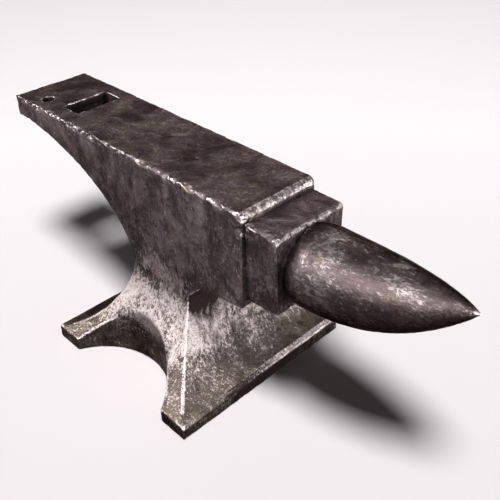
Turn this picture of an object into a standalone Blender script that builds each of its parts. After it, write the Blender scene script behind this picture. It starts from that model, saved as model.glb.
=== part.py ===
"""Forge-welded London-pattern anvil: steel face plate, core, heel, table, horn and four feet.

Metres, +Z up. The origin is the centre of the base's underside, +X points to the horn
and +Y across the face. Every piece ends a small gap short of its neighbour, at the welds.
"""

import math

import bmesh
import bpy

# Heights above the floor
FACE_Z = 0.2550
PLATE_THICKNESS = 0.0108
HEEL_UNDER_Z = 0.2300
WAIST_Z = 0.1180
LIP_Z = 0.0190
BODY_UNDER_Z = 0.1480
TABLE_UNDER_FRONT_Z = 0.1580
TABLE_UNDER_BACK_Z = 0.1540

# Stations along the length
HEEL_X = -0.2600
FACE_FRONT_X = 0.1375
TABLE_FRONT_X = 0.1775
HORN_TIP_X = 0.3520
HEEL_WELD_X = -0.1000
WAIST_HEEL_X = -0.0410
WAIST_HORN_X = 0.0540
BASE_HALF_LENGTH = 0.1185

# Across the width
FACE_HALF_WIDTH = 0.0500
SIDE_LEAN = 0.030
TABLE_HALF_WIDTH = 0.0467
TABLE_SIDE_LEAN = -0.027
FOOT_WELD_Y = 0.0360
BASE_HALF_WIDTH = 0.1245

# The arch cut into each long side of the base, an upright cylinder
ARCH_RADIUS = 0.0865
ARCH_CENTRE_Y = 0.1595

# Tool holes through the heel: the oblong one for hardy tools and the round one for punching
HARDY_X = (-0.1878, -0.1586)
HARDY_Y = (-0.0270, 0.0320)
PRITCHEL_XY = (-0.2200, -0.0285)
PRITCHEL_RADIUS = 0.0068

# Horn
HORN_RADIUS = 0.0430
HORN_ROOT_Z = 0.2006
HORN_TIP_Z = 0.2376
HORN_ROOT_PINCH = 0.12
HORN_PINCH_LENGTH = 0.018
HORN_RINGS = 30
HORN_SIDES = 40

# Shape of the hollow curves: 2 would be an ellipse, and under 1 the curve hangs inwards
HEEL_SWEEP_POWER = 1.8
THROAT_POWER = 3.0
END_FLARE_POWER = 0.65
SIDE_FLARE_POWER = 0.72

CURVE_STEPS = 28
WELD_GAP = 0.0003
EDGE_BEVEL = 0.0012

FACE_STEEL = (0.115, 0.102, 0.098)
FORGED_IRON = (0.085, 0.073, 0.072)
FOOT_IRON = (0.130, 0.118, 0.115)


def clear_scene():
    for obj in list(bpy.data.objects):
        bpy.data.objects.remove(obj, do_unlink=True)


def metal(name, colour, roughness):
    material = bpy.data.materials.new(name)
    material.use_nodes = True
    shader = material.node_tree.nodes["Principled BSDF"]
    shader.inputs["Base Color"].default_value = (*colour, 1.0)
    shader.inputs["Metallic"].default_value = 1.0
    shader.inputs["Roughness"].default_value = roughness
    return material


def object_from(name, mesh_builder, material=None):
    mesh = bpy.data.meshes.new(name)
    bmesh.ops.recalc_face_normals(mesh_builder, faces=mesh_builder.faces)
    mesh_builder.to_mesh(mesh)
    mesh_builder.free()
    obj = bpy.data.objects.new(name, mesh)
    bpy.context.scene.collection.objects.link(obj)
    if material:
        mesh.materials.append(material)
    mesh.shade_smooth()
    mesh.set_sharp_from_angle(angle=math.radians(25))
    return obj


def prism(name, outline, place, material=None):
    """Solid between two copies of a flat outline. place(u, v, end) gives a corner at end 0 or 1."""
    mesh_builder = bmesh.new()
    rings = [
        [mesh_builder.verts.new(place(u, v, end)) for u, v in outline]
        for end in (0, 1)
    ]
    mesh_builder.faces.new(reversed(rings[0]))
    mesh_builder.faces.new(rings[1])
    for i in range(len(outline)):
        j = (i + 1) % len(outline)
        mesh_builder.faces.new((rings[0][i], rings[0][j], rings[1][j], rings[1][i]))
    return object_from(name, mesh_builder, material)


def box(name, low, high, material=None):
    outline = [(low[0], low[1]), (high[0], low[1]), (high[0], high[1]), (low[0], high[1])]
    return prism(name, outline, lambda u, v, end: (u, v, (low, high)[end][2]), material)


def helper(obj):
    obj.hide_render = True
    obj.display_type = "WIRE"
    return obj


def boolean(obj, other, operation):
    modifier = obj.modifiers.new(f"{operation.lower()}_{other.name}", "BOOLEAN")
    modifier.operation = operation
    modifier.solver = "EXACT"
    modifier.object = other


def bevel(obj, width=EDGE_BEVEL, angle=40):
    modifier = obj.modifiers.new("worn_edges", "BEVEL")
    modifier.width = width
    modifier.segments = 2
    modifier.limit_method = "ANGLE"
    modifier.angle_limit = math.radians(angle)


def quarter(t, power):
    """Height, 1 down to 0, of a quarter superellipse at t, 0 to 1 along its other axis."""
    return (1.0 - min(max(t, 0.0), 1.0) ** power) ** (1.0 / power)


def quarter_points(power):
    """Points (t, height) along the quarter, spread evenly over both of its ends."""
    points = []
    for i in range(CURVE_STEPS + 1):
        angle = 0.5 * math.pi * i / CURVE_STEPS
        points.append((math.sin(angle) ** (2 / power), math.cos(angle) ** (2 / power)))
    return points


def heel_under(x):
    """Underside of the heel, sweeping from the level end down to the waist."""
    t = (x - HEEL_X) / (WAIST_HEEL_X - HEEL_X)
    return WAIST_Z + (HEEL_UNDER_Z - WAIST_Z) * quarter(t, HEEL_SWEEP_POWER)


def heel_sweep(start, end):
    """Outline points under the heel between two stations, closer together near the waist."""
    span = WAIST_HEEL_X - HEEL_X
    inner = [(HEEL_X + span * t, h) for t, h in quarter_points(HEEL_SWEEP_POWER)]
    stations = [start] + [x for x, _ in inner if start + 0.001 < x < end - 0.0002] + [end]
    return [(x, heel_under(x)) for x in stations]


def throat():
    """Outline points under the body on the horn side, from the waist out to its front."""
    rise = BODY_UNDER_Z - WAIST_Z - 0.010
    points = []
    for t, h in reversed(quarter_points(THROAT_POWER)):
        x = FACE_FRONT_X - (FACE_FRONT_X - WAIST_HORN_X) * t
        points.append((x, WAIST_Z + rise * h + 0.010 * (1 - t)))
    return points


def flare(start, end, power):
    """Hollow curve from the waist weld down to the lip, from start out to end."""
    top = WAIST_Z - WELD_GAP
    return [
        (start + (end - start) * t, LIP_Z + (top - LIP_Z) * h)
        for t, h in quarter_points(power)
    ]


def leaning(top_half_width, lean):
    """Corner placer for a block whose sides stand off the centre by a width that grows downwards."""

    def place(x, z, end):
        half = top_half_width + lean * (FACE_Z - PLATE_THICKNESS - z)
        return (x, half if end else -half, z)

    return place


def make_cutters():
    hardy = box(
        "hardy_cutter",
        (HARDY_X[0], HARDY_Y[0], 0.180),
        (HARDY_X[1], HARDY_Y[1], FACE_Z + 0.02),
    )
    circle = [
        (
            PRITCHEL_XY[0] + PRITCHEL_RADIUS * math.cos(math.tau * i / 32),
            PRITCHEL_XY[1] + PRITCHEL_RADIUS * math.sin(math.tau * i / 32),
        )
        for i in range(32)
    ]
    heights = (0.180, FACE_Z + 0.02)
    pritchel = prism("pritchel_cutter", circle, lambda x, y, end: (x, y, heights[end]))
    return helper(hardy), helper(pritchel)


def make_face_plate(cutters):
    low = (HEEL_X, -FACE_HALF_WIDTH, FACE_Z - PLATE_THICKNESS)
    high = (FACE_FRONT_X, FACE_HALF_WIDTH, FACE_Z)
    plate = box("face_plate", low, high, metal("face_steel", FACE_STEEL, 0.45))
    bevel(plate)
    for cutter in cutters:
        boolean(plate, cutter, "DIFFERENCE")


def make_heel_block(cutters):
    top = FACE_Z - PLATE_THICKNESS - WELD_GAP
    end = HEEL_WELD_X - WELD_GAP
    outline = heel_sweep(HEEL_X, end) + [(end, top), (HEEL_X, top)]
    place = leaning(FACE_HALF_WIDTH, SIDE_LEAN)
    heel = prism("heel_block", outline, place, metal("heel_iron", FORGED_IRON, 0.5))
    for cutter in cutters:
        boolean(heel, cutter, "DIFFERENCE")


def make_upper_core():
    top = FACE_Z - PLATE_THICKNESS - WELD_GAP
    outline = heel_sweep(HEEL_WELD_X, WAIST_HEEL_X)
    outline += throat()
    outline += [(FACE_FRONT_X, top), (HEEL_WELD_X, top)]
    place = leaning(FACE_HALF_WIDTH, SIDE_LEAN)
    prism("upper_core", outline, place, metal("core_iron", FORGED_IRON, 0.5))


def make_table_block():
    top = FACE_Z - PLATE_THICKNESS
    back = FACE_FRONT_X + WELD_GAP
    outline = [
        (back, TABLE_UNDER_BACK_Z),
        (TABLE_FRONT_X, TABLE_UNDER_FRONT_Z),
        (TABLE_FRONT_X, top),
        (back, top),
    ]
    place = leaning(TABLE_HALF_WIDTH, TABLE_SIDE_LEAN)
    table = prism("table_block", outline, place, metal("table_iron", FORGED_IRON, 0.48))
    bevel(table)


def horn_section(x):
    """Centre height, half width and half height of the horn at a station."""
    u = min((x - TABLE_FRONT_X) / (HORN_TIP_X - TABLE_FRONT_X), 1.0)
    radius = HORN_RADIUS * (1 - u**2.5) ** 0.85
    centre = HORN_ROOT_Z + (HORN_TIP_Z - HORN_ROOT_Z) * u**2.15
    near_root = max(0.0, 1 - (x - TABLE_FRONT_X) / HORN_PINCH_LENGTH)
    pinch = HORN_ROOT_PINCH * near_root**2
    return centre, radius * (1 - pinch), radius * (1 - 0.5 * pinch)


def make_horn():
    """Rings along the horn, closer together towards the rounded tip, closed by one point."""
    mesh_builder = bmesh.new()
    start = TABLE_FRONT_X + WELD_GAP
    rings = []
    for i in range(HORN_RINGS):
        x = start + (HORN_TIP_X - start) * math.sin(0.5 * math.pi * i / HORN_RINGS)
        centre, half_width, half_height = horn_section(x)
        ring = []
        for j in range(HORN_SIDES):
            turn = math.tau * j / HORN_SIDES
            point = (x, half_width * math.cos(turn), centre + half_height * math.sin(turn))
            ring.append(mesh_builder.verts.new(point))
        rings.append(ring)
    mesh_builder.faces.new(reversed(rings[0]))
    for first, second in zip(rings, rings[1:]):
        for j in range(HORN_SIDES):
            k = (j + 1) % HORN_SIDES
            mesh_builder.faces.new((first[j], first[k], second[k], second[j]))
    tip = mesh_builder.verts.new((HORN_TIP_X, 0, HORN_TIP_Z))
    for j in range(HORN_SIDES):
        k = (j + 1) % HORN_SIDES
        mesh_builder.faces.new((rings[-1][j], rings[-1][k], tip))
    object_from("horn", mesh_builder, metal("horn_iron", FORGED_IRON, 0.42))


def end_profile():
    """Outline of the base seen from the side: both ends flare down from the waist."""
    heel_side = flare(WAIST_HEEL_X, -BASE_HALF_LENGTH, END_FLARE_POWER)
    horn_side = flare(WAIST_HORN_X, BASE_HALF_LENGTH, END_FLARE_POWER)
    corners = [(BASE_HALF_LENGTH, 0.0), (-BASE_HALF_LENGTH, 0.0)]
    return horn_side + corners + list(reversed(heel_side))


def make_lower_core():
    half = FOOT_WELD_Y - WELD_GAP
    prism(
        "lower_core",
        end_profile(),
        lambda x, z, end: (x, (-half, half)[end], z),
        metal("base_iron", FOOT_IRON, 0.48),
    )


def make_foot(name, x_side, y_side):
    """One corner of the base: the side flare, kept where it lies under the end flare, less the arch."""
    middle = 0.5 * (WAIST_HEEL_X + WAIST_HORN_X)
    waist_half = FACE_HALF_WIDTH + SIDE_LEAN * (FACE_Z - PLATE_THICKNESS - WAIST_Z)
    side = flare(waist_half, BASE_HALF_WIDTH, SIDE_FLARE_POWER)
    side += [(BASE_HALF_WIDTH, 0.0), (FOOT_WELD_Y, 0.0)]
    side += [(FOOT_WELD_Y, WAIST_Z - WELD_GAP)]
    ends = (middle + 0.5 * WELD_GAP * x_side, (BASE_HALF_LENGTH + 0.01) * x_side)
    foot = prism(
        name,
        side,
        lambda y, z, end: (ends[end], y * y_side, z),
        metal(f"{name}_iron", FOOT_IRON, 0.48),
    )
    end_cut = prism(
        f"{name}_end_shape",
        end_trim_profile(),
        lambda x, z, end: (x, (-0.2, 0.2)[end], z),
    )
    boolean(foot, helper(end_cut), "INTERSECT")
    boolean(foot, arch_cutter(f"{name}_arch", y_side), "DIFFERENCE")


def end_trim_profile():
    """The end profile made taller and deeper, so that only its flares and its ends trim."""
    top = WAIST_Z - WELD_GAP
    trimming = [(x, z if z > 0 else -0.01) for x, z in end_profile() if z < top - 1e-6]
    head = [(WAIST_HEEL_X, WAIST_Z + 0.02), (WAIST_HORN_X, WAIST_Z + 0.02)]
    return head + trimming


def arch_cutter(name, y_side):
    sides = 128
    circle = [
        (
            ARCH_RADIUS * math.cos(math.tau * i / sides),
            ARCH_CENTRE_Y * y_side + ARCH_RADIUS * math.sin(math.tau * i / sides),
        )
        for i in range(sides)
    ]
    return helper(prism(name, circle, lambda x, y, end: (x, y, (-0.01, 0.14)[end])))


def make_feet():
    for x_name, x_side in (("heel", -1), ("horn", 1)):
        for y_name, y_side in (("right", -1), ("left", 1)):
            make_foot(f"foot_{x_name}_{y_name}", x_side, y_side)


def main():
    clear_scene()
    cutters = make_cutters()
    make_face_plate(cutters)
    make_heel_block(cutters)
    make_upper_core()
    make_table_block()
    make_horn()
    make_lower_core()
    make_feet()


main()
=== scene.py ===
import math
import random

import bmesh
import bpy
import numpy as np
from mathutils import Matrix, Vector


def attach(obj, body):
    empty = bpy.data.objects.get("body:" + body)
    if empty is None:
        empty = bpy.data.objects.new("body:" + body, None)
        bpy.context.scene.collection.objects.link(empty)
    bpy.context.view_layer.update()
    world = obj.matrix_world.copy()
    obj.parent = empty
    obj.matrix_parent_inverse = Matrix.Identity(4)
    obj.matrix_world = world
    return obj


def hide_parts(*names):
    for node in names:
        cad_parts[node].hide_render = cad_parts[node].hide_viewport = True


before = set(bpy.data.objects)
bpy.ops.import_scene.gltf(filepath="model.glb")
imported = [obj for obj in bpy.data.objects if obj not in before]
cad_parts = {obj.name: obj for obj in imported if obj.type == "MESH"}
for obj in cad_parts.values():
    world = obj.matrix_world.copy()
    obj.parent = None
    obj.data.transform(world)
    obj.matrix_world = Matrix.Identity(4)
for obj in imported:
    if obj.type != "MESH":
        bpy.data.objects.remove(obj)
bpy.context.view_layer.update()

# ---------------------------------------------------------------- sizes, in millimetres
# The meshing grid, and the rounds of smoothing that reach about 5.5 mm on it
VOXEL = 1.15
SMOOTHING_ROUNDS = 22
FACE_Z, TABLE_Z, WAIST_Z, LIP_Z = 255.0, 244.2, 118.0, 19.0
HEEL_X, FRONT_X, TABLE_X, TIP_X = -260.0, 137.5, 177.5, 352.0
HEEL_WELD_X, FOOT_WELD_X, FOOT_WELD_Y = -100.0, 6.5, 36.0
HEEL_UNDER_Z, BODY_UNDER_Z = 230.0, 148.0
WAIST_HEEL_X, WAIST_HORN_X = -41.0, 54.0
HALF_LENGTH, HALF_WIDTH, FACE_HALF = 118.5, 124.5, 50.0
# The sides of the body and of the table stand out by this much for each millimetre down
LEAN, TABLE_LEAN = 0.030, -0.027
WAIST_HALF = FACE_HALF + LEAN * (TABLE_Z - WAIST_Z)
# Powers of the superellipses that shape the sweeps, where 1 would be a straight slope
HEEL_POWER, THROAT_POWER, END_FLARE_POWER, SIDE_FLARE_POWER = 1.8, 3.0, 0.65, 0.72
# The throat's sweep lies on a straight slope that rises by this much
THROAT_RISE = 10
TABLE_BACK_X, TABLE_HALF = 135.5, 46.7
TABLE_BACK_UNDER_Z, TABLE_FRONT_UNDER_Z = 154.0, 158.0
HORN_R, HORN_ROOT_Z, HORN_RISE = 43.0, 200.6, 37.0
HORN_RISE_POWER, HORN_TAPER_POWER, HORN_BLUNTNESS = 2.15, 2.5, 0.85
HORN_PINCH, HORN_PINCH_LENGTH, HORN_INSET = 0.12, 18.0, 0.25
ARCH_R, ARCH_Y = 86.5, 159.5
# The oblong hole's low and high x, then its low and high y; the round hole's centre and radius
HARDY = (-187.8, -158.6, -27.0, 32.0)
PRITCHEL = (-220.0, -28.5, 6.8)
HOLE_CORNER = 1.0
# Rounding of the edges: those above FACE_EDGES_Z, those below FLOOR_EDGES_Z, and the others
FACE_EDGES_Z, FLOOR_EDGES_Z = 236, 8
FACE_EDGE_R, FLOOR_EDGE_R, EDGE_R = 1.0, 1.0, 1.7
NEAR_EDGE_R, NEAR_EDGE_LEAST_R = 1.1, 0.9
ARCH_EDGE_R, HARDY_EDGE_R, PRITCHEL_EDGE_R, TABLE_EDGE_R = 2.0, 1.7, 1.3, 1.8

# ---------------------------------------------------------------- wear, in millimetres
# How far the worn surface lies inside the modelled one on average
INSET = 0.42
# A point that stands out by this much from its surroundings counts as a full edge
FULL_EDGE = 0.9
# The step and the feet's creases are worn; the horn root's value paints a highlight on its near
# side
STEP_WEAR, ROOT_PAINTED_HIGHLIGHT, CREASE_WEAR = 1.12, 1.0, 1.25
# Chips are deep only along the face's near edge, from a little way in from the heel's corner
NEAR_CHIPS, OTHER_CHIPS = 6.5, 0.7
NEAR_CHIPS_X, NEAR_CHIPS_Y, NEAR_CHIPS_Z = HEEL_X + 12, -38, 234
# Distances at which the shelter of a point is felt for
REACHES = (5.0, 12.0, 30.0, 60.0)

# ---------------------------------------------------------------- places, in metres
KEY_PLACE, AIM = (0.615, -0.532, 2.277), (0.03, 0.0, 0.15)
KEY_SIZE, KEY_POWER = 0.607, 90.0
BOX_DISTANCE = 1.8
# Boxes of light that show only as reflections: direction from the anvil, size in metres, watts
REFLECTED_BOXES = (
    ("strip", (-0.17, -0.77, 0.61), (2.0, 0.16), 150.0),
    ("low_left_box", (-0.59, -0.81, 0.12), (0.8, 0.8), 14.0),
    ("low_right_box", (0.95, 0.31, 0.12), (0.8, 0.8), 80.0),
    ("low_front_box", (0.58, -0.80, 0.10), (0.8, 0.8), 12.0),
    ("rear_box", (-0.45, 0.62, 0.62), (1.2, 1.2), 14.0),
    ("high_left_box", (-0.37, -0.37, 0.85), (0.6, 0.6), 10.0),
)
# The sky for diffuse rays, for reflections, and what is added where the camera sees it
SKY_DIFFUSE, SKY_GLOSSY, SKY_SEEN = 0.05, 0.67, 0.22
SKY_COLOUR = (1.0, 0.97, 0.98, 1.0)
FLOOR_HALF = 6.0
# The floor's shade right under the key light and at most, and its glow far from the key light
FLOOR_SHADE, FLOOR_LIGHTEST, FLOOR_GLOW, FLOOR_GLOW_FROM = 0.49, 0.94, 0.55, 1.92
FLOOR_COLOUR = (1.0, 0.945, 0.964)
FLOOR_GLOW_COLOUR = (1.0, 0.975, 0.985, 1.0)
CAMERA_PLACE = (0.53055, -0.41502, 0.59867)
CAMERA_AZIMUTH, CAMERA_ELEVATION, CAMERA_ROLL = 46.35, 35.33, -1.37
CAMERA_LENS = 51.41

# ---------------------------------------------------------------- finishes
# The direction of the brush marks on level surfaces
STROKE = math.radians(30)
SHARP_EDGE = math.radians(58)
# Colour of the painted shade in sheltered corners, where occlusion would shade them
PAINTED_SHADE_COLOUR = (0.013, 0.008, 0.008)
# Colour of the painted shade in hollows
HOLLOW_SHADE_COLOUR = (0.012, 0.009, 0.009)
EDGE_METAL = (0.33, 0.285, 0.285)
EDGE_GAP = (0.018, 0.014, 0.014)
SCUFF = (0.22, 0.20, 0.20)
FLOOR_DUST = (0.042, 0.033, 0.023)
# Stains, as shares of the pale oxide's red
OLIVE, COOL = (1.15, 0.93, 0.55), (1.4, 1.3, 1.33)
EDGE_ON_TINT = (0.30, 0.26, 0.26, 1.0)
BUMP_DISTANCE = 0.0014


# ---------------------------------------------------------------- flat outlines
def quarter_points(power, steps=48):
    """(t, height) along a quarter superellipse, from height 1 down to 0."""
    angles = np.linspace(0, 0.5 * np.pi, steps + 1)
    return np.sin(angles) ** (2 / power), np.cos(angles) ** (2 / power)


def flare(start, end, power):
    """The sweep from the waist out to the lip of the base."""
    t, h = quarter_points(power)
    return list(zip(start + (end - start) * t, LIP_Z + (WAIST_Z - LIP_Z) * h))


def heel_sweep():
    """The underside of the heel, from its end down to the waist."""
    t, h = quarter_points(HEEL_POWER)
    x = HEEL_X + (WAIST_HEEL_X - HEEL_X) * t
    return list(zip(x, WAIST_Z + (HEEL_UNDER_Z - WAIST_Z) * h))


def throat():
    """The underside of the body's front, from its lower corner back to the waist."""
    t, h = quarter_points(THROAT_POWER)
    x = FRONT_X - (FRONT_X - WAIST_HORN_X) * t
    fall = (BODY_UNDER_Z - WAIST_Z - THROAT_RISE) * h
    return list(zip(x, WAIST_Z + fall + THROAT_RISE * (1 - t)))


def rounded(points, steps=8):
    """An outline whose corners given as (x, y, radius) become arcs. Plain points stay."""
    out = []
    n = len(points)
    for i, p in enumerate(points):
        if len(p) == 2 or p[2] <= 0:
            out.append(np.array(p[:2], float))
            continue
        here = np.array(p[:2], float)
        a = np.array(points[i - 1][:2], float) - here
        b = np.array(points[(i + 1) % n][:2], float) - here
        a /= np.linalg.norm(a)
        b /= np.linalg.norm(b)
        half = 0.5 * math.acos(float(np.clip(a @ b, -1, 1)))
        reach = p[2] / math.tan(half)
        centre = here + (a + b) / np.linalg.norm(a + b) * p[2] / math.sin(half)
        first, last = here + a * reach - centre, here + b * reach - centre
        for s in np.linspace(0, 1, steps + 1):
            v = first * (1 - s) + last * s
            out.append(centre + v / np.linalg.norm(v) * p[2])
    return np.array(out)


class Outline:
    """Signed distance to a closed outline, kept on a 1 mm grid between two corners.

    It is negative inside.
    """

    def __init__(self, points, low, high):
        self.low = np.array(low, float)
        nx, ny = (int(h - l) + 1 for l, h in zip(low, high))
        x, y = np.meshgrid(low[0] + np.arange(nx), low[1] + np.arange(ny), indexing="ij")
        best = np.full(x.shape, 1e9)
        inside = np.zeros(x.shape, bool)
        for (ax, ay), (bx, by) in zip(points, np.roll(points, -1, axis=0)):
            dx, dy = bx - ax, by - ay
            length = dx * dx + dy * dy
            if length < 1e-12:
                continue
            t = np.clip(((x - ax) * dx + (y - ay) * dy) / length, 0, 1)
            best = np.minimum(best, (x - ax - t * dx) ** 2 + (y - ay - t * dy) ** 2)
            if dy:
                crosses = (ay > y) != (by > y)
                inside ^= crosses & (x < (y - ay) * dx / dy + ax)
        self.grid = np.where(inside, -np.sqrt(best), np.sqrt(best)).astype(np.float32)

    def __call__(self, x, y):
        nx, ny = self.grid.shape
        u = np.clip(x - self.low[0], 0, nx - 1.001)
        v = np.clip(y - self.low[1], 0, ny - 1.001)
        i, j = u.astype(np.int32), v.astype(np.int32)
        s, t = (u - i).astype(np.float32), (v - j).astype(np.float32)
        g = self.grid
        low = g[i, j] * (1 - s) + g[i + 1, j] * s
        high = g[i, j + 1] * (1 - s) + g[i + 1, j + 1] * s
        return low * (1 - t) + high * t


# ---------------------------------------------------------------- fields
def common(a, b, r):
    """Intersection of two fields with its edge rounded to radius r."""
    u = np.maximum(r + a, 0)
    v = np.maximum(r + b, 0)
    return np.minimum(-r, np.maximum(a, b)) + np.sqrt(u * u + v * v)


def lattice(i, j, k, seed):
    """A number in -1..1 for each lattice point, mixed from its three indices and the seed."""
    n = (i * 73856093) ^ (j * 19349663) ^ (k * 83492791) ^ (seed * 2654435)
    n = (n ^ (n >> 13)) * 1274126177
    n = n ^ (n >> 16)
    return (n & 65535).astype(np.float32) / 32767.5 - 1.0


def noise(p, size, seed):
    """Smooth noise in -1..1 with features of about the given size in millimetres."""
    q = p / np.asarray(size, float)
    base = np.floor(q).astype(np.int64)
    f = (q - base).astype(np.float32)
    f = f * f * (3 - 2 * f)
    total = 0
    for a in (0, 1):
        for b in (0, 1):
            for c in (0, 1):
                w = (f[:, 0] if a else 1 - f[:, 0]) * (f[:, 1] if b else 1 - f[:, 1])
                w = w * (f[:, 2] if c else 1 - f[:, 2])
                total = total + w * lattice(
                    base[:, 0] + a, base[:, 1] + b, base[:, 2] + c, seed
                )
    return total


def body_fields():
    """The body's outlines: along its length, and across one half of it.

    Points of a sweep next to a rounded corner are dropped, so that its arc has room. The half
    runs past the middle, the face and the floor, where the first outline ends the body.
    """
    outline = [(HEEL_X, FACE_Z, 1.1), (HEEL_X, HEEL_UNDER_Z + 0.01, 1.5)]
    outline += heel_sweep()[2:]
    outline += flare(WAIST_HEEL_X, -HALF_LENGTH, END_FLARE_POWER)[1:-1]
    outline += [(-HALF_LENGTH, LIP_Z, 5.0), (-HALF_LENGTH, 0, 0.9)]
    outline += [(HALF_LENGTH, 0, 0.9), (HALF_LENGTH, LIP_Z, 5.0)]
    outline += flare(WAIST_HORN_X, HALF_LENGTH, END_FLARE_POWER)[-2:0:-1]
    outline += throat()[-2:1:-1]
    outline += [(FRONT_X, BODY_UNDER_Z, 1.6), (FRONT_X, FACE_Z, 8.5)]
    along = Outline(rounded(outline), (-285, -25), (165, 285))
    half = [(-70, 320), (FACE_HALF, 320), (FACE_HALF, TABLE_Z)]
    half += flare(WAIST_HALF, HALF_WIDTH, SIDE_FLARE_POWER)[:-1]
    half += [(HALF_WIDTH, LIP_Z, 3.2), (HALF_WIDTH, -60), (-70, -60)]
    across = Outline(rounded(half), (-5, -25), (150, 285))
    return along, across


ALONG, ACROSS = body_fields()

# Stretches of the face's near edge worn to a wider rounding: start, end, widest radius
NEAR_EDGE_WEAR = [
    (-260, -232, 1.2), (-232, -214, 1.6), (-212, -190, 2.4), (-190, -168, 1.8),
    (-166, -120, 2.6), (-119, -92, 1.8), (-92, -60, 2.8), (-58, -40, 1.4),
    (-40, -8, 2.4), (-8, 20, 1.4), (20, 52, 2.0), (52, 78, 1.3), (78, 96, 2.4),
    (96, 118, 1.9), (118, 140, 3.0),
]


def near_edge_radius(x):
    """The rounding of the face's near edge, which rises and falls along each worn stretch."""
    r = np.full(np.shape(x), NEAR_EDGE_R, np.float32)
    for start, end, widest in NEAR_EDGE_WEAR:
        t = np.clip((x - start) / (end - start), 0, 1)
        swell = np.maximum(np.sin(np.pi * t**1.6), 0) ** 0.8
        shape = NEAR_EDGE_LEAST_R + (widest - NEAR_EDGE_LEAST_R) * swell
        r = np.where((x >= start) & (x < end), shape, r)
    return r


def body(x, y, z):
    """The body with its face and base: two outlines crossed, less the arches and the holes."""
    side = np.abs(y)
    a = ALONG(x, z)
    b = ACROSS(side, z)
    face_r = np.where(y < 0, near_edge_radius(x), FACE_EDGE_R)
    r = np.where(z > FACE_EDGES_Z, face_r, EDGE_R)
    r = np.where(z < FLOOR_EDGES_Z, FLOOR_EDGE_R, r).astype(np.float32)
    d = common(a, b, r)
    arch = ARCH_R - np.sqrt(x * x + (side - ARCH_Y) ** 2)
    d = common(d, arch, ARCH_EDGE_R)
    qx = np.abs(x - 0.5 * (HARDY[0] + HARDY[1])) - 0.5 * (HARDY[1] - HARDY[0]) + HOLE_CORNER
    qy = np.abs(y - 0.5 * (HARDY[2] + HARDY[3])) - 0.5 * (HARDY[3] - HARDY[2]) + HOLE_CORNER
    rect = np.hypot(np.maximum(qx, 0), np.maximum(qy, 0)) + np.minimum(np.maximum(qx, qy), 0)
    d = common(d, HOLE_CORNER - rect, HARDY_EDGE_R)
    bore = PRITCHEL[2] - np.hypot(x - PRITCHEL[0], y - PRITCHEL[1])
    return common(d, bore, PRITCHEL_EDGE_R)


TABLE_OUTLINE = Outline(
    rounded(
        [
            (TABLE_BACK_X, TABLE_Z),
            (TABLE_BACK_X, TABLE_BACK_UNDER_Z),
            (TABLE_X, TABLE_FRONT_UNDER_Z, 1.6),
            (TABLE_X, TABLE_Z, 4.5),
        ]
    ),
    (120, 140),
    (195, 262),
)


def table(x, y, z):
    """The table block: its outline along the anvil, between two sides that close in downwards."""
    a = TABLE_OUTLINE(x, z)
    b = np.abs(y) - (TABLE_HALF + TABLE_LEAN * (TABLE_Z - z))
    return common(a, b, np.float32(TABLE_EDGE_R))


def along_horn(x):
    """How far along the horn a point is, from 0 at the table to 1 at the tip."""
    return np.clip((x - TABLE_X) / (TIP_X - TABLE_X), 0, 1)


def horn_line(x):
    """The height of the horn's centre line."""
    return HORN_ROOT_Z + HORN_RISE * along_horn(x) ** HORN_RISE_POWER


def horn_radius(x):
    """The horn's radius about its centre line."""
    return HORN_R * (1 - along_horn(x) ** HORN_TAPER_POWER) ** HORN_BLUNTNESS


def horn_outline():
    """The horn's radius along its length and its mirror image, as one closed outline."""
    x = TABLE_X - 2 + (TIP_X - TABLE_X + 2) * np.sin(np.linspace(0, 0.5 * np.pi, 90))
    r = horn_radius(x)
    upper = np.c_[x, r]
    return Outline(np.r_[upper, np.c_[x, -r][-2::-1]], (160, -60), (372, 75))


HORN_OUTLINE = horn_outline()


def horn(x, y, z):
    """The horn: round about a line that rises towards the tip, and drawn in at its root."""
    near_root = np.clip(1 - (x - TABLE_X) / HORN_PINCH_LENGTH, 0, 1)
    pinch = HORN_PINCH * near_root**2
    rho = np.hypot(y / (1 - pinch), (z - horn_line(x)) / (1 - 0.5 * pinch))
    return HORN_OUTLINE(x, rho) + HORN_INSET


# ---------------------------------------------------------------- meshing a field
CORNERS = np.array([(i, j, k) for i in (0, 1) for j in (0, 1) for k in (0, 1)])
PAIRS = [(a, b) for a in range(8) for b in range(a + 1, 8)]
EDGES = [(a, b) for a, b in PAIRS if abs(CORNERS[a] - CORNERS[b]).sum() == 1]


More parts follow.
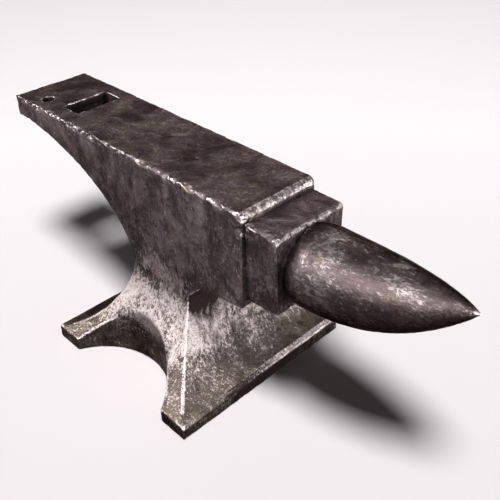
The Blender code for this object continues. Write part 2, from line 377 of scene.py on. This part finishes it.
def surface(field, low, high, h):
    """Quads of the field's zero surface, one point per grid cell of size h that it crosses.

    The grid is worked through in blocks, and those that lie well off the surface are left out.
    """
    block = 8
    batch = 1500
    low = np.array(low, float)
    count = np.ceil((np.array(high) - low) / h / block).astype(int)
    ids = np.stack(np.meshgrid(*[np.arange(c) for c in count], indexing="ij"), -1).reshape(-1, 3)
    mid = low + (ids + 0.5) * block * h
    value = field(mid[:, 0], mid[:, 1], mid[:, 2])
    half_diagonal = block * h * 0.87
    ids = ids[np.abs(value) < half_diagonal * 1.25 + 3.0]
    size = count * block + 2
    stride = np.array([size[1] * size[2], size[2], 1], np.int64)
    steps = np.arange(block + 1)
    keys, points, quads = [], [], []
    for part in np.array_split(ids, max(1, len(ids) // batch)):
        start = part * block
        ax = [start[:, a, None] + steps for a in range(3)]
        n = block + 1
        px, py, pz = (
            (low[a] + ax[a] * h).astype(np.float32).reshape(-1, *shape)
            for a, shape in enumerate(((n, 1, 1), (1, n, 1), (1, 1, n)))
        )
        px, py, pz = np.broadcast_arrays(px, py, pz)
        v = field(px.ravel(), py.ravel(), pz.ravel()).reshape(px.shape).astype(np.float32)
        inside = v < 0
        cells = [inside[:, i : i + block, j : j + block, k : k + block] for i, j, k in CORNERS]
        total = sum(c.astype(np.int8) for c in cells)
        where = np.argwhere((total > 0) & (total < len(CORNERS)))
        cell = start[where[:, 0]] + where[:, 1:]
        w, wi, wj, wk = where.T
        values = np.stack([v[w, wi + i, wj + j, wk + k] for i, j, k in CORNERS], 1)
        spot = np.zeros((len(where), 3))
        hits = np.zeros(len(where))
        for a, b in EDGES:
            va, vb = values[:, a], values[:, b]
            crossed = (va < 0) != (vb < 0)
            t = np.where(crossed, va / np.where(crossed, va - vb, 1), 0)
            along = CORNERS[a] + t[:, None] * (CORNERS[b] - CORNERS[a])
            spot += np.where(crossed[:, None], along, 0)
            hits += crossed
        keys.append((cell * stride).sum(1))
        points.append(low + (cell + spot / hits[:, None]) * h)
        for axis in range(3):
            ahead = [slice(None)] + [slice(0, block)] * 3
            ahead[axis + 1] = slice(1, block + 1)
            first, second = inside[:, :block, :block, :block], inside[tuple(ahead)]
            at = np.argwhere(first != second)
            corner = start[at[:, 0]] + at[:, 1:]
            key = (corner * stride).sum(1)
            b, c = stride[(axis + 1) % 3], stride[(axis + 2) % 3]
            ring = np.stack([key - b - c, key - c, key, key - b], 1)
            turn = first[tuple(at.T)]
            ring[~turn] = ring[~turn][:, ::-1]
            quads.append(ring)
    keys, points, quads = np.concatenate(keys), np.concatenate(points), np.concatenate(quads)
    order = np.argsort(keys)
    keys, points = keys[order], points[order]
    index = np.searchsorted(keys, quads)
    index = np.minimum(index, len(keys) - 1)
    good = (keys[index] == quads).all(1)
    return points, index[good].astype(np.int32)


def gradient(field, p):
    """The field's slope at each point, from differences over a short step."""
    e = 0.35
    g = []
    for axis in np.eye(3) * e:
        a, b = p + axis, p - axis
        g.append(field(a[:, 0], a[:, 1], a[:, 2]) - field(b[:, 0], b[:, 1], b[:, 2]))
    return np.stack(g, 1) / (2 * e)


def settle(field, p):
    """Moves points onto the zero surface and returns them with their outward directions."""
    for _ in range(3):
        g = gradient(field, p)
        d = field(p[:, 0], p[:, 1], p[:, 2])
        step = (d / np.maximum((g * g).sum(1), 0.2))[:, None] * g
        p = p - np.clip(step, -0.8, 0.8)
    g = gradient(field, p)
    return p, g / np.maximum(np.linalg.norm(g, axis=1), 1e-6)[:, None]


def relief(points, quads, normals, rounds):
    """How far each point stands out from its smoothed surroundings, in millimetres."""
    a = np.concatenate([quads[:, [0, 1]], quads[:, [1, 2]], quads[:, [2, 3]], quads[:, [3, 0]]])
    n = len(points)
    links = np.maximum(np.bincount(a[:, 0], minlength=n), 1)
    soft = points.copy()
    for _ in range(rounds):
        soft = np.stack(
            [np.bincount(a[:, 0], soft[a[:, 1], c], minlength=n) / links for c in range(3)], 1
        )
    return ((points - soft) * normals).sum(1)


def shelter(points, normals):
    """How closed in each point is, from 0 in the open to 1.

    It is felt for straight out and half upwards, and all the shares add up to 1.
    """
    upward = normals + np.array((0.0, 0.0, 0.8))
    upward /= np.maximum(np.linalg.norm(upward, axis=1), 0.1)[:, None]
    total = np.zeros(len(points))
    for reach in REACHES:
        for direction, share in ((normals, 0.12), (upward, 0.13)):
            x, y, z = (points + direction * reach).T
            away = np.minimum(np.minimum(body(x, y, z), table(x, y, z)), horn(x, y, z))
            total += share * np.clip(1 - away / reach, 0, 1)
    return total


def scoops():
    """Knocks along the edges: round scoops given by corner, radius, depth and outward direction."""
    rng = random.Random(7)
    out = []
    for x in (-206, -168, -141, -99, -70, -48, -12, 31, 64, 97, 112, 128):
        corner = (x, -FACE_HALF, FACE_Z)
        out.append((corner, rng.uniform(9, 19), rng.uniform(2.2, 4.4), (0, -1, 1)))
    for _ in range(10):
        corner = (rng.uniform(-250, 130), FACE_HALF, FACE_Z)
        out.append((corner, rng.uniform(5, 9), rng.uniform(0.1, 0.3), (0, 1, 1)))
    for _ in range(7):
        corner = (FRONT_X, rng.uniform(-46, 46), FACE_Z)
        out.append((corner, rng.uniform(6, 11), rng.uniform(1.2, 2.2), (1, 0, 1)))
    for y_side in (-1, 1):
        for x_side in (-1, 1):
            for _ in range(3):
                corner = (x_side * rng.uniform(85, 116), y_side * HALF_WIDTH, LIP_Z)
                out.append((corner, rng.uniform(5, 9), 1.6, (0, y_side, 1)))
    for x_side in (-1, 1):
        for _ in range(9):
            corner = (x_side * HALF_LENGTH, rng.uniform(-118, 118), LIP_Z)
            out.append((corner, rng.uniform(5, 10), rng.uniform(1.0, 2.0), (x_side, 0, 1)))
    return out


def table_scoops():
    """Knocks along the front and near edges of the table."""
    rng = random.Random(11)
    out = []
    for y in (-41, -30, -14, 3, 17, 29, 40):
        corner = (TABLE_X, y, TABLE_Z)
        out.append((corner, rng.uniform(5, 10), rng.uniform(0.9, 1.7), (1, 0, 1)))
    for x in (144, 152, 161, 170):
        corner = (x, -TABLE_HALF, TABLE_Z)
        out.append((corner, rng.uniform(4, 8), rng.uniform(0.5, 1.3), (0, -1, 1)))
    return out


def knock(p, knocks):
    """Moves the points inside each scoop's ball onto the ball. It changes p."""
    for corner, radius, depth, away in knocks:
        away = np.array(away, float)
        away /= np.linalg.norm(away)
        centre = np.array(corner) + away * (radius - depth)
        v = p - centre
        d = np.linalg.norm(v, axis=1)
        hit = d < radius
        p[hit] = centre + v[hit] / d[hit, None] * radius
    return p


def weather(p, n, wear):
    """Unevenness of old forged metal: gentle waves, pits and broken edges."""
    edge = np.clip(wear / FULL_EDGE, 0, 1)
    level = np.clip(np.abs(n[:, 2]) * 4 - 3, 0, 1)
    waves = 0.22 * noise(p, 34, 1) + 0.12 * noise(p, 12, 2)
    grain = 0.09 * noise(p, 4.5, 3) + 0.06 * noise(p, 2.2, 4)
    large_chips = np.clip(noise(p, (7, 7, 5), 5) - 0.1, 0, 1)
    chips = large_chips + 0.7 * np.clip(noise(p, 3.5, 6) - 0.1, 0, 1)
    pits = np.clip(noise(p, 6, 8) - 0.62, 0, 1) * np.clip(noise(p, 40, 9) + 0.3, 0, 1)
    near = (p[:, 0] > NEAR_CHIPS_X) & (p[:, 1] < NEAR_CHIPS_Y) & (p[:, 2] > NEAR_CHIPS_Z)
    chipped = np.where(near, NEAR_CHIPS, OTHER_CHIPS)
    return waves * (1 - 0.5 * level) + grain - chipped * edge * chips - 0.8 * pits - INSET


def rub_and_highlight(name, points, normals, wear, closed_in):
    """Marks the places kept bright: by use the step, the table's front, a lip of the base and the
    creases of the feet; as a painted highlight the near side of the horn's root and the far half of
    that lip. It changes wear and closed_in."""
    x, z = points[:, 0], points[:, 2]
    for end_x, from_z, reach in ((FRONT_X, TABLE_Z + 0.8, 9.0), (TABLE_X, TABLE_Z - 5.0, 5.0)):
        step = (np.abs(x - end_x) < reach) & (z > from_z) & (normals[:, 0] > 0.25)
        wear[step] = np.maximum(wear[step], STEP_WEAR)
        closed_in[step] = 0
    if name == "horn":
        # Painted highlight: the near side of the horn's root is made bright bare metal, without
        # painted shade
        root = (x < TABLE_X + 3.0) & (normals[:, 1] < -0.1)
        wear[root] = ROOT_PAINTED_HIGHLIGHT
        closed_in[root] = 0
    if name == "whole":
        # The lip on the horn's side is worn bright, and its far half brighter still as a painted
        # highlight
        lip = (x > HALF_LENGTH - 7) & (np.abs(z - LIP_Z) < 3)
        wear[lip] = np.maximum(wear[lip], 0.6 + 0.65 * np.clip(points[lip, 1] / 60 + 0.6, 0, 1))
    crease = wear > 0.42 + 0.33 * np.clip((z - 35) / 30, 0, 1)
    crease &= (normals[:, 2] > 0.12) & (z > LIP_Z + 4) & (z < WAIST_Z)
    wear[crease] = np.maximum(wear[crease], CREASE_WEAR)


def mesh_from(name, field, low, high, knocks):
    """The worn mesh of the field between two corners, with its attributes for wear and shelter."""
    points, quads = surface(field, low, high, VOXEL)
    points, normals = settle(field, points)
    wear = relief(points, quads, normals, SMOOTHING_ROUNDS)
    closed_in = shelter(points, normals)
    rub_and_highlight(name, points, normals, wear, closed_in)
    points = knock(points, knocks)
    points = points + normals * weather(points, normals, wear)[:, None]
    # Nothing that faces down goes through the floor, and the underside stays flat on it
    if name != "horn":
        faces_down = normals[:, 2] < -0.97
        points[faces_down, 2] = np.maximum(points[faces_down, 2], 0)
    underside = (normals[:, 2] < -0.999) & (points[:, 2] < 1.5)
    points[underside, 2] = 0.0
    mesh = bpy.data.meshes.new(name)
    mesh.vertices.add(len(points))
    mesh.vertices.foreach_set("co", (points * 0.001).astype(np.float32).ravel())
    mesh.loops.add(quads.size)
    mesh.loops.foreach_set("vertex_index", quads.ravel())
    mesh.polygons.add(len(quads))
    mesh.polygons.foreach_set("loop_start", np.arange(0, quads.size, 4, dtype=np.int32))
    mesh.update(calc_edges=True)
    for key, values in (("wear", wear), ("shelter", closed_in)):
        attribute = mesh.attributes.new(key, "FLOAT", "POINT")
        attribute.data.foreach_set("value", values.astype(np.float32))
    return mesh


def cut(source, name, planes):
    """The part of a mesh on the inner side of each plane, closed again at every cut."""
    work = bmesh.new()
    work.from_mesh(source)
    for at, outward in planes:
        geometry = work.verts[:] + work.edges[:] + work.faces[:]
        bmesh.ops.bisect_plane(
            work,
            geom=geometry,
            dist=1e-6,
            plane_co=[c * 0.001 for c in at],
            plane_no=outward,
            clear_outer=True,
        )
        rim = [e for e in work.edges if e.is_boundary]
        if rim:
            bmesh.ops.triangle_fill(work, use_beauty=False, edges=rim, normal=outward)
    mesh = bpy.data.meshes.new(name)
    work.to_mesh(mesh)
    work.free()
    return mesh


def place(name, mesh, nodes, material):
    """Adds a finished mesh to the scene in place of its CAD nodes."""
    obj = bpy.data.objects.new(name, mesh)
    bpy.context.scene.collection.objects.link(obj)
    mesh.shade_smooth()
    mesh.set_sharp_from_angle(angle=SHARP_EDGE)
    mesh.materials.append(material)
    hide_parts(*nodes)
    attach(obj, "root")


# ---------------------------------------------------------------- materials
class Tree:
    """Short ways to add nodes to a material."""

    def __init__(self, name):
        self.material = bpy.data.materials.new(name)
        self.material.use_nodes = True
        self.nodes = self.material.node_tree.nodes
        self.links = self.material.node_tree.links
        self.shader = self.nodes["Principled BSDF"]

    def add(self, kind, inputs=None, **settings):
        node = self.nodes.new(kind)
        for key, value in settings.items():
            setattr(node, key, value)
        for key, value in (inputs or {}).items():
            self.put(value, node.inputs[key])
        return node

    def put(self, value, socket):
        """Links a socket or a node's first output, and sets anything else as the value."""
        if isinstance(value, bpy.types.NodeSocket):
            self.links.new(value, socket)
        elif isinstance(value, bpy.types.Node):
            self.links.new(value.outputs[0], socket)
        else:
            socket.default_value = value

    def math(self, operation, a, b=0.0, c=0.0, clamp=False):
        node = self.add("ShaderNodeMath", {0: a, 1: b, 2: c}, operation=operation, use_clamp=clamp)
        return node.outputs[0]

    def mapped(self, value, low, high, to_low=0.0, to_high=1.0):
        """A smooth step of the value from (low, high) to (to_low, to_high)."""
        node = self.add(
            "ShaderNodeMapRange",
            {0: value, 1: low, 2: high, 3: to_low, 4: to_high},
            interpolation_type="SMOOTHSTEP",
        )
        return node.outputs[0]

    def noise(self, vector, scale, detail=4.0, roughness=0.55, distortion=0.0):
        node = self.add(
            "ShaderNodeTexNoise",
            {
                "Vector": vector,
                "Scale": scale,
                "Detail": detail,
                "Roughness": roughness,
                "Distortion": distortion,
            },
        )
        return node.outputs[0]

    def stretch(self, vector, scale):
        node = self.add("ShaderNodeMapping", {"Vector": vector, "Scale": scale})
        return node.outputs[0]

    def mix(self, factor, a, b):
        """A colour from a to b. Each may be a colour or a socket."""
        node = self.add("ShaderNodeMix", data_type="RGBA")
        self.put(factor, node.inputs[0])
        self.put((*a, 1.0) if isinstance(a, tuple) else a, node.inputs[6])
        self.put((*b, 1.0) if isinstance(b, tuple) else b, node.inputs[7])
        return node.outputs[2]


def worn_steel(
    name,
    deep,
    pale,
    bright,
    fresh,
    rough,
    bump,
    grow=(1.0, 1.0, 0.5),
    brown=0.6,
    lines=0.3,
    gaps=1.0,
    height_highlights=(),
    painted_shade=0.9,
    painted_shade_from=0.03,
    dust=0.0,
):
    """Old steel: oxide mottled from deep to pale, stains, specks of bright metal, bare worn edges.

    fresh is the noise level above which the metal is bright: the lower, the more of it. grow
    stretches the pattern, brown is the share of olive stains, and lines that of fine dark lines.
    gaps is how much the worn edges are broken. Each of height_highlights, (low, high, at_low,
    at_high), adds bright metal by height in metres as a painted highlight, and a negative share
    takes it away as painted shade. painted_shade is how dark the painted shade in sheltered
    corners is, from the shelter painted_shade_from on, and dust how much the low parts are browned.
    """
    t = Tree(name)
    where = t.add("ShaderNodeTexCoord").outputs["Object"]
    height_z = t.add("ShaderNodeSeparateXYZ", {0: where}).outputs[2]
    facing = t.add("ShaderNodeSeparateXYZ", {0: t.add("ShaderNodeNewGeometry").outputs["Normal"]})
    level = t.mapped(facing.outputs[2], 0.75, 0.93)
    upward = t.mapped(facing.outputs[2], 0.08, 0.45)
    wear = t.add("ShaderNodeAttribute", attribute_name="wear").outputs["Fac"]
    closed_in = t.add("ShaderNodeAttribute", attribute_name="shelter").outputs["Fac"]

    # Patterns: brushed across level surfaces, drawn out along the others
    turned = t.add("ShaderNodeMapping", {"Vector": where, "Rotation": (0, 0, -STROKE)}).outputs[0]
    crosswise = t.stretch(turned, (0.45, 1.0, 1.0))
    upright = t.stretch(where, grow)
    broad = t.noise(where, 26.0, 5.0, 0.62, 0.4)
    streak_top = t.noise(crosswise, 90.0, 6.0, 0.66, 0.5)
    streak_side = t.noise(upright, 110.0, 6.0, 0.68, 0.6)
    streak = t.add("ShaderNodeMix", {0: level, 2: streak_side, 3: streak_top}).outputs[0]
    speck = t.noise(where, 400.0, 3.0, 0.75, 0.8)
    curl = t.noise(upright, 240.0, 3.0, 0.6, 1.2)
    curl = t.math("ABSOLUTE", t.math("SUBTRACT", curl, 0.5))
    curl = t.mapped(curl, 0.0, 0.055, 1.0, 0.0)

    # Oxide, from deep to pale
    tone = t.math("MULTIPLY_ADD", broad, 0.46, t.math("MULTIPLY", streak, 0.34))
    tone = t.math("MULTIPLY_ADD", speck, 0.20, tone)
    tone = t.mapped(tone, 0.40, 0.62)
    colour = t.mix(tone, deep, pale)

    # Olive and cool stains
    olive = t.mapped(t.noise(where, 27.0, 5.0, 0.62, 0.6), 0.54, 0.66, 0.0, brown)
    olive = t.math("MULTIPLY", olive, t.mapped(speck, 0.36, 0.58))
    colour = t.mix(olive, colour, tuple(share * pale[0] for share in OLIVE))
    cool = t.noise(t.stretch(where, (1.0, 1.0, -1.0)), 19.0, 6.0, 0.66, 0.8)
    cool = t.math("MULTIPLY", t.mapped(cool, 0.55, 0.66, 0.0, 0.6), t.mapped(streak, 0.40, 0.58))
    colour = t.mix(cool, colour, tuple(share * pale[0] for share in COOL))

    # Dust on the low parts
    low_down = t.mapped(height_z, 0.015, 0.080, dust, 0.0)
    dusty = t.math("MULTIPLY", low_down, t.mapped(streak, 0.40, 0.56))
    colour = t.mix(dusty, colour, FLOOR_DUST)

    # Specks of bright metal, bands of it by height as painted highlight and painted shade, and fine
    # dark lines
    worm = t.noise(upright, 380.0, 4.0, 0.75, 0.7)
    bare = t.math("MULTIPLY_ADD", broad, 0.35, t.math("MULTIPLY", worm, 0.65))
    # Bands of bright metal by height: painted highlight, and painted shade where a share is
    # negative
    for low, high, at_low, at_high in height_highlights:
        bare = t.math("ADD", bare, t.mapped(height_z, low, high, at_low, at_high))
    bare = t.mapped(bare, fresh, fresh + 0.10)
    colour = t.mix(bare, colour, bright)
    drawn = t.math("MULTIPLY", curl, t.mapped(streak, 0.40, 0.60, 0.4, 1.0))
    colour = t.mix(t.math("MULTIPLY", drawn, lines), colour, deep)

    # Scuffs on what faces up
    scuff = t.mapped(t.noise(crosswise, 70.0, 7.0, 0.70, 0.9), 0.57, 0.69, 0.0, 0.7)
    colour = t.mix(t.math("MULTIPLY", scuff, upward), colour, SCUFF)

    # Painted shade in sheltered corners and in hollows
    closed_in = t.math("MULTIPLY_ADD", streak, 0.20, t.math("SUBTRACT", closed_in, 0.10))
    # Painted shade: the more closed in a point is, the darker its colour
    shade_mask = t.mapped(closed_in, painted_shade_from, 0.30 + 0.15 * painted_shade_from, 0.0, painted_shade)
    colour = t.mix(shade_mask, colour, PAINTED_SHADE_COLOUR)
    # Painted shade in hollows, where the surface lies below its surroundings
    sunk_shade = t.mapped(wear, -0.9, -0.15, 0.75, 0.0)
    colour = t.mix(sunk_shade, colour, HOLLOW_SHADE_COLOUR)

    # Edges worn bare, with gaps
    broken = t.math("MULTIPLY_ADD", t.noise(where, 430.0, 5.0, 0.78), 3.6, -1.8)
    edge = t.mapped(t.math("ADD", wear, broken), 0.80, 1.50)
    kept = t.mapped(t.noise(where, 150.0, 5.0, 0.75), 0.42, 0.56, 1.0 - 0.80 * gaps, 1.0)
    edge = t.math("MULTIPLY", edge, kept)
    edge = t.math("MULTIPLY", edge, t.mapped(facing.outputs[2], 0.05, 0.35, 0.1, 1.0))
    colour = t.mix(edge, colour, EDGE_METAL)
    dull = t.math("MULTIPLY", t.mapped(wear, 0.4, 0.9), t.math("SUBTRACT", 1.0, kept))
    colour = t.mix(t.math("MULTIPLY", dull, 0.8), colour, EDGE_GAP)

    # Metal whose gloss and relief follow the same patterns
    t.put(colour, t.shader.inputs["Base Color"])
    t.shader.inputs["Metallic"].default_value = 1.0
    t.shader.inputs["Specular Tint"].default_value = EDGE_ON_TINT
    roughness = t.math("MULTIPLY_ADD", streak, 0.20, rough - 0.20)
    roughness = t.math("MULTIPLY_ADD", speck, 0.20, roughness)
    roughness = t.math("MULTIPLY_ADD", shade_mask, 0.25, roughness)
    t.put(roughness, t.shader.inputs["Roughness"])

    fine = t.noise(where, 900.0, 2.0, 0.7)
    height = t.math("MULTIPLY_ADD", fine, 0.30, speck)
    height = t.math("MULTIPLY_ADD", streak, 0.6, height)
    height = t.math("MULTIPLY_ADD", worm, 0.8, height)
    height = t.math("MULTIPLY_ADD", curl, -0.10, height)
    settings = {"Height": height, "Strength": bump, "Distance": BUMP_DISTANCE}
    t.put(t.add("ShaderNodeBump", settings), t.shader.inputs["Normal"])
    return t.material


# ---------------------------------------------------------------- the anvil
def steels():
    """The four finishes: the face, the forged body, the horn and the base."""
    face = worn_steel(
        "worn_face_steel",
        deep=(0.029, 0.022, 0.022),
        pale=(0.122, 0.098, 0.101),
        bright=(0.235, 0.203, 0.202),
        fresh=0.53,
        rough=0.36,
        bump=0.40,
        brown=0.75,
    )
    iron = worn_steel(
        "worn_forged_iron",
        deep=(0.027, 0.0205, 0.0215),
        pale=(0.089, 0.067, 0.071),
        bright=(0.250, 0.208, 0.208),
        fresh=0.55,
        rough=0.36,
        bump=0.60,
        brown=0.4,
        painted_shade=0.2,
        # Bright metal just above the waist, a painted highlight
        height_highlights=((0.116, 0.165, 0.09, 0.0),),
    )
    beak = worn_steel(
        "worn_horn_iron",
        deep=(0.025, 0.0205, 0.0210),
        pale=(0.068, 0.056, 0.055),
        bright=(0.195, 0.178, 0.176),
        fresh=0.505,
        rough=0.20,
        bump=0.30,
        grow=(0.45, 1.0, 1.0),
        brown=0.9,
        lines=0.6,
        gaps=0.3,
    )
    base = worn_steel(
        "worn_base_iron",
        deep=(0.016, 0.012, 0.011),
        pale=(0.088, 0.072, 0.067),
        bright=(0.250, 0.217, 0.208),
        fresh=0.500,
        rough=0.32,
        bump=0.65,
        lines=0.9,
        gaps=0.3,
        painted_shade=1.0,
        painted_shade_from=0.23,
        dust=0.8,
        # Bright metal rising up the flares, a painted highlight, and less just under the waist,
        # painted shade
        height_highlights=((0.020, 0.085, -0.036, 0.10), (0.088, 0.118, 0.0, -0.09)),
    )
    return face, iron, beak, base


def build():
    """The anvil: one mesh of the body cut at its welds, then the table block and the horn."""
    face, iron, beak, base = steels()
    whole = mesh_from("whole", body, (-266, -130, -6), (144, 130, 261), scoops())
    up, down = (0, 0, 1), (0, 0, -1)
    plate = [((0, 0, TABLE_Z), down)]
    under_plate = ((0, 0, TABLE_Z), up)
    above_waist = ((0, 0, WAIST_Z), down)
    below_waist = ((0, 0, WAIST_Z), up)
    heel_side = ((HEEL_WELD_X, 0, 0), (1, 0, 0))
    core_side = ((HEEL_WELD_X, 0, 0), (-1, 0, 0))
    mesh = cut(whole, "face_plate_worn", plate)
    place("face_plate_worn", mesh, ["face_plate"], face)
    pieces = [
        (
            "heel_worn",
            "heel_block",
            [under_plate, above_waist, heel_side],
            "forged_iron",
            iron,
        ),
        (
            "core_worn",
            "upper_core",
            [under_plate, above_waist, core_side],
            "forged_iron",
            iron,
        ),
        (
            "base_core_worn",
            "lower_core",
            [below_waist, ((0, FOOT_WELD_Y, 0), (0, 1, 0)), ((0, -FOOT_WELD_Y, 0), (0, -1, 0))],
            "base_iron",
            base,
        ),
    ]
    for x_name, x_side in (("heel", -1), ("horn", 1)):
        for y_name, y_side in (("right", -1), ("left", 1)):
            planes = [
                below_waist,
                ((0, y_side * FOOT_WELD_Y, 0), (0, -y_side, 0)),
                ((FOOT_WELD_X, 0, 0), (-x_side, 0, 0)),
            ]
            node = f"foot_{x_name}_{y_name}"
            pieces.append((f"{node}_worn", node, planes, "base_iron", base))
    for name, node, planes, slot_name, material in pieces:
        place(name, cut(whole, name, planes), [node], material)
    bpy.data.meshes.remove(whole)

    mesh = mesh_from("table", table, (130, -52, 148), (183, 52, 250), table_scoops())
    place("table_worn", mesh, ["table_block"], iron)
    mesh = mesh_from("horn", horn, (170, -50, 150), (358, 50, 252), [])
    place("horn_worn", mesh, ["horn"], beak)


# ---------------------------------------------------------------- floor, light, camera
def make_floor():
    """A pale floor whose colour makes up for the key light's falling off with distance."""
    mesh = bpy.data.meshes.new("floor")
    s = FLOOR_HALF
    mesh.from_pydata([(-s, -s, 0), (s, -s, 0), (s, s, 0), (-s, s, 0)], [], [(0, 1, 2, 3)])
    floor = bpy.data.objects.new("floor", mesh)
    bpy.context.scene.collection.objects.link(floor)
    t = Tree("pale_floor")
    away = t.add("ShaderNodeVectorMath", operation="DISTANCE")
    t.put(t.add("ShaderNodeTexCoord").outputs["Object"], away.inputs[0])
    t.put((KEY_PLACE[0], KEY_PLACE[1], 0.0), away.inputs[1])
    ratio = t.math("POWER", t.math("DIVIDE", away.outputs["Value"], KEY_PLACE[2]), 2.0)
    ratio = t.math("POWER", t.math("ADD", ratio, 1.0), 2.0)
    share = t.math("MINIMUM", t.math("MULTIPLY", ratio, FLOOR_SHADE), FLOOR_LIGHTEST)
    colour = t.add("ShaderNodeVectorMath", {0: FLOOR_COLOUR}, operation="SCALE")
    t.put(share, colour.inputs["Scale"])
    t.put(colour.outputs[0], t.shader.inputs["Base Color"])
    far = t.math("MAXIMUM", ratio, FLOOR_GLOW_FROM)
    rest = t.math("SUBTRACT", 1.0, t.math("DIVIDE", FLOOR_GLOW_FROM, far))
    t.put(t.math("MULTIPLY", rest, FLOOR_GLOW), t.shader.inputs["Emission Strength"])
    t.shader.inputs["Emission Color"].default_value = FLOOR_GLOW_COLOUR
    t.shader.inputs["Roughness"].default_value = 1.0
    t.shader.inputs["Specular IOR Level"].default_value = 0.0
    mesh.materials.append(t.material)


def area(name, position, aim, size, power, glossy_only=False):
    """An oval area light. A glossy_only light shows in reflections and lights nothing else."""
    light = bpy.data.lights.new(name, "AREA")
    light.shape = "ELLIPSE"
    light.size, light.size_y = size
    light.energy = power
    obj = bpy.data.objects.new(name, light)
    bpy.context.scene.collection.objects.link(obj)
    obj.location = position
    obj.rotation_mode = "QUATERNION"
    obj.rotation_quaternion = (Vector(position) - Vector(aim)).to_track_quat("Z", "Y")
    obj.visible_camera = False
    obj.visible_diffuse = not glossy_only


def make_light():
    """A studio sky that diffuse surfaces hardly see, the key light and the reflected boxes."""
    world = bpy.data.worlds.new("studio")
    bpy.context.scene.world = world
    world.use_nodes = True
    nodes, links = world.node_tree.nodes, world.node_tree.links
    path = nodes.new("ShaderNodeLightPath")
    level = nodes.new("ShaderNodeMix")
    links.new(path.outputs["Is Diffuse Ray"], level.inputs[0])
    seen = nodes.new("ShaderNodeMath")
    seen.operation = "MULTIPLY_ADD"
    seen.inputs[1].default_value = SKY_SEEN
    seen.inputs[2].default_value = SKY_GLOSSY
    links.new(path.outputs["Is Camera Ray"], seen.inputs[0])
    links.new(seen.outputs[0], level.inputs[2])
    level.inputs[3].default_value = SKY_DIFFUSE
    links.new(level.outputs[0], nodes["Background"].inputs[1])
    nodes["Background"].inputs[0].default_value = SKY_COLOUR
    area("key", KEY_PLACE, AIM, (KEY_SIZE, KEY_SIZE), KEY_POWER)
    for name, direction, size, power in REFLECTED_BOXES:
        position = Vector(AIM) + Vector(direction).normalized() * BOX_DISTANCE
        area(name, position, AIM, size, power, glossy_only=True)


def make_camera():
    """The camera, placed and turned by its azimuth, elevation and roll."""
    azimuth = math.radians(CAMERA_AZIMUTH)
    elevation = math.radians(CAMERA_ELEVATION)
    roll = math.radians(CAMERA_ROLL)
    back = Vector(
        (
            math.sin(azimuth) * math.cos(elevation),
            -math.cos(azimuth) * math.cos(elevation),
            math.sin(elevation),
        )
    )
    right = (-back).cross(Vector((0, 0, 1))).normalized()
    up = right.cross(-back)
    across = right * math.cos(roll) + up * math.sin(roll)
    upward = up * math.cos(roll) - right * math.sin(roll)
    data = bpy.data.cameras.new("camera")
    data.lens = CAMERA_LENS
    camera = bpy.data.objects.new("camera", data)
    bpy.context.scene.collection.objects.link(camera)
    pose = Matrix((across, upward, back)).transposed().to_4x4()
    pose.translation = Vector(CAMERA_PLACE)
    camera.matrix_world = pose
    bpy.context.scene.camera = camera


build()
make_floor()
make_light()
make_camera()
bpy.context.scene.view_settings.view_transform = "Standard"
